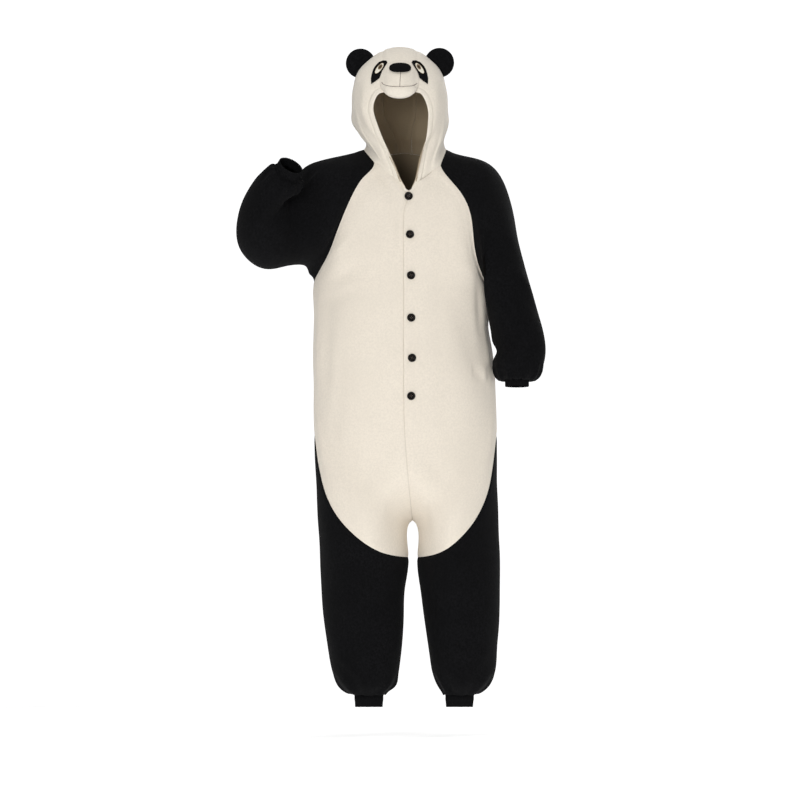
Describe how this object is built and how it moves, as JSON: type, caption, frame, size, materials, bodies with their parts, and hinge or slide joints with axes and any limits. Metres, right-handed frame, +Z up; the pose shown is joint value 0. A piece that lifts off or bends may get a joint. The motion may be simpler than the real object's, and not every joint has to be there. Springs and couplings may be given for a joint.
{
  "type": "panda costume",
  "caption": "Hooded one-piece panda suit in cream and black fleece with a padded animal face, ears, buttoned front, raglan sleeves and ribbed cuffs, shaped as worn.",
  "frame": {"origin": "in the neck opening between the shoulders, where the wearer's shoulders carry the suit", "axes": "+Z up, -Y the way the suit faces, +X towards the wearer's left"},
  "size_m": [0.8191, 0.3566, 1.749],
  "materials": {
    "cream_fleece": "matt, short nap",
    "black_fleece": "matt, short nap",
    "black_rib": "matt rib knit",
    "black_felt": "matt felt",
    "white_felt": "matt felt",
    "brown_felt": "satin thread",
    "button": "gloss"
  },
  "bodies": {
    "root": {"front_right": "cream_fleece", "front_left": "cream_fleece", "back": "cream_fleece", "hood_right": "cream_fleece", "hood_left": "cream_fleece", "hood_centre": "cream_fleece", "button_stand": "cream_fleece", "muzzle": "cream_fleece", "sleeve_right": "black_fleece", "sleeve_left": "black_fleece", "leg_right_front": "black_fleece", "leg_right_back": "black_fleece", "leg_left_front": "black_fleece", "leg_left_back": "black_fleece", "ear_right": "black_fleece", "ear_left": "black_fleece", "cuff_right": "black_rib", "cuff_left": "black_rib", "ankle_cuff_right": "black_rib", "ankle_cuff_left": "black_rib", "nose": "black_felt", "eye_patch_right": "black_felt", "eye_patch_left": "black_felt", "eye_white_right": "white_felt", "eye_white_left": "white_felt", "iris_right": "brown_felt", "iris_left": "brown_felt", "button_1": "button", "button_2": "button", "button_3": "button", "button_4": "button", "button_5": "button", "button_6": "button"}
  },
  "joints": []
}
